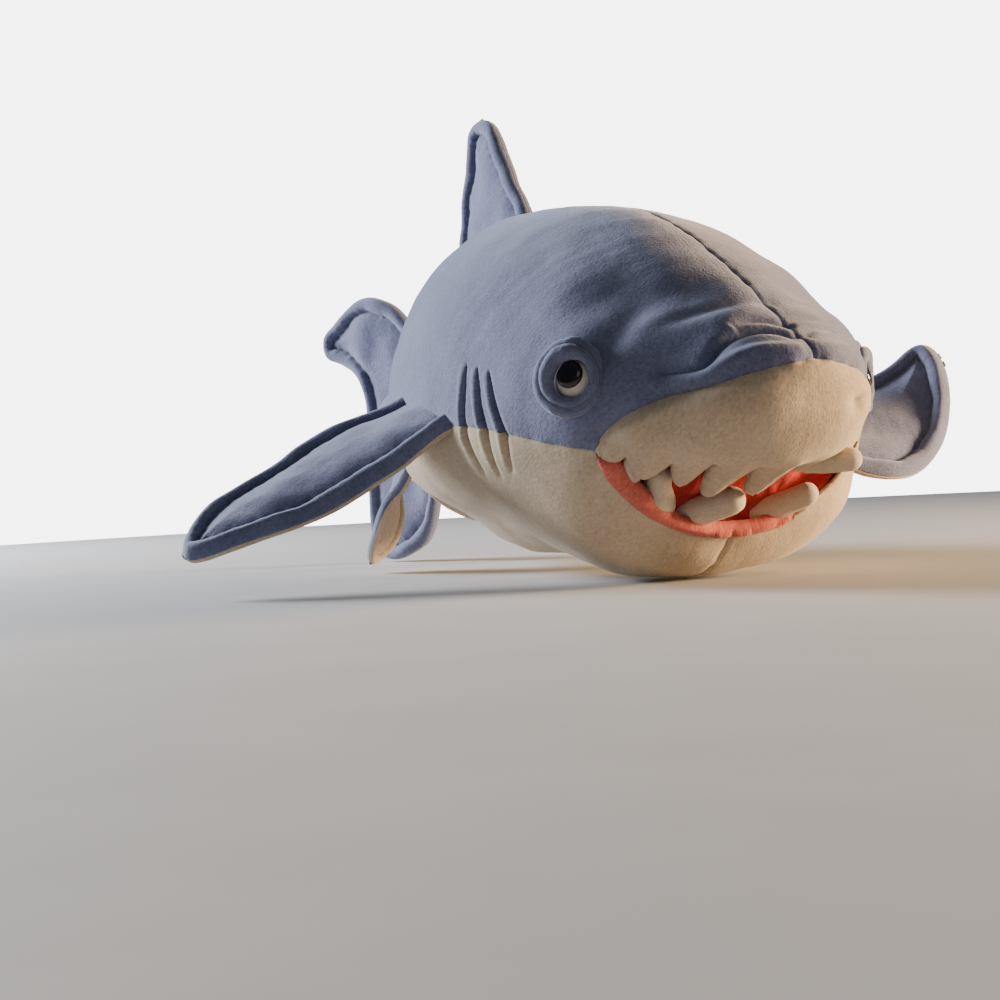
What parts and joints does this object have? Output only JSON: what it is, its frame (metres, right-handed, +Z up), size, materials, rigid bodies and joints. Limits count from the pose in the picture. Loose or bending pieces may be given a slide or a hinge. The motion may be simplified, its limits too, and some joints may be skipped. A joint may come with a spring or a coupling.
{
  "type": "plush shark",
  "caption": "Large soft toy shark with stuffed body, padded fins, toothy smiling mouth and bead eyes; the tail bends and the fins flop at their seams.",
  "frame": {"origin": "middle of the flattened patch of belly that the toy rests on", "axes": "+X to the shark's left, +Y from head to tail, +Z up, away from the surface it lies on"},
  "size_m": [0.7015, 0.8762, 0.44],
  "materials": {
    "blue_plush": "matte",
    "cream_plush": "matte",
    "lip_fabric": "matte",
    "mouth_fabric": "matte",
    "tooth_fabric": "matte",
    "eye_white_fabric": "matte",
    "iris_plastic": "gloss",
    "washer_plastic": "matte",
    "stuffing": "matte"
  },
  "bodies": {
    "body": {"back_cover_left": "blue_plush", "back_cover_right": "blue_plush", "belly_cover_left": "cream_plush", "belly_cover_right": "cream_plush", "muzzle_cover": "cream_plush", "lower_lip_band": "lip_fabric", "mouth_lining": "mouth_fabric", "body_stuffing": "stuffing", "upper_teeth": "tooth_fabric", "lower_teeth": "tooth_fabric", "eye_ring_left": "blue_plush", "eye_lid_left": "blue_plush", "eye_ball_left": "eye_white_fabric", "eye_iris_left": "iris_plastic", "eye_lock_washer_left": "washer_plastic", "eye_ring_right": "blue_plush", "eye_lid_right": "blue_plush", "eye_ball_right": "eye_white_fabric", "eye_iris_right": "iris_plastic", "eye_lock_washer_right": "washer_plastic"},
    "tail_stem": {"tail_back_cover_left": "blue_plush", "tail_back_cover_right": "blue_plush", "tail_belly_cover_left": "cream_plush", "tail_belly_cover_right": "cream_plush", "tail_stuffing": "stuffing"},
    "tail_fin": {"tail_fin_left_cover": "blue_plush", "tail_fin_right_cover": "blue_plush", "tail_fin_padding": "stuffing"},
    "dorsal_fin": {"dorsal_fin_left_cover": "blue_plush", "dorsal_fin_right_cover": "blue_plush", "dorsal_fin_padding": "stuffing"},
    "pectoral_fin_left": {"pectoral_fin_left_top_cover": "blue_plush", "pectoral_fin_left_under_cover": "cream_plush", "pectoral_fin_left_padding": "stuffing"},
    "pectoral_fin_right": {"pectoral_fin_right_top_cover": "blue_plush", "pectoral_fin_right_under_cover": "cream_plush", "pectoral_fin_right_padding": "stuffing"},
    "pelvic_fin_left": {"pelvic_fin_left_outer_cover": "blue_plush", "pelvic_fin_left_inner_cover": "cream_plush", "pelvic_fin_left_padding": "stuffing"},
    "pelvic_fin_right": {"pelvic_fin_right_outer_cover": "blue_plush", "pelvic_fin_right_inner_cover": "cream_plush", "pelvic_fin_right_padding": "stuffing"}
  },
  "joints": [
    {"name": "tail_sway", "type": "hinge", "parent": "body", "child": "tail_stem", "pos_m": [0, 0.3, 0.15], "axis": [0, 0, 1], "range_deg": [-28, 12], "stiffness_Nm_per_rad": 2},
    {"name": "tail_fin_sway", "type": "hinge", "parent": "tail_stem", "child": "tail_fin", "pos_m": [-0.01461, 0.40398, 0.15], "axis": [0, 0, 1], "range_deg": [-37, 13], "stiffness_Nm_per_rad": 1},
    {"name": "dorsal_fin_flop", "type": "hinge", "parent": "body", "child": "dorsal_fin", "pos_m": [0, 0.208, 0.282], "axis": [0, 0.9231, -0.3846], "range_deg": [-22, 22], "stiffness_Nm_per_rad": 0.5},
    {"name": "pectoral_fin_right_lift", "type": "hinge", "parent": "body", "child": "pectoral_fin_right", "pos_m": [-0.1635, 0.018, 0.1365], "axis": [0.0086, 0.9768, 0.2142], "range_deg": [-12, 45], "stiffness_Nm_per_rad": 0.6},
    {"name": "pectoral_fin_left_lift", "type": "hinge", "parent": "body", "child": "pectoral_fin_left", "pos_m": [0.1635, 0.018, 0.1365], "axis": [0.0086, -0.9768, -0.2142], "range_deg": [-30, 35], "stiffness_Nm_per_rad": 0.6},
    {"name": "pelvic_fin_right_lift", "type": "hinge", "parent": "body", "child": "pelvic_fin_right", "pos_m": [-0.102, 0.223, 0.092], "axis": [0.2707, 0.9598, 0.0738], "range_deg": [-5, 50], "stiffness_Nm_per_rad": 0.3},
    {"name": "pelvic_fin_left_lift", "type": "hinge", "parent": "body", "child": "pelvic_fin_left", "pos_m": [0.102, 0.223, 0.092], "axis": [0.2707, -0.9598, -0.0738], "range_deg": [-5, 50], "stiffness_Nm_per_rad": 0.3}
  ]
}
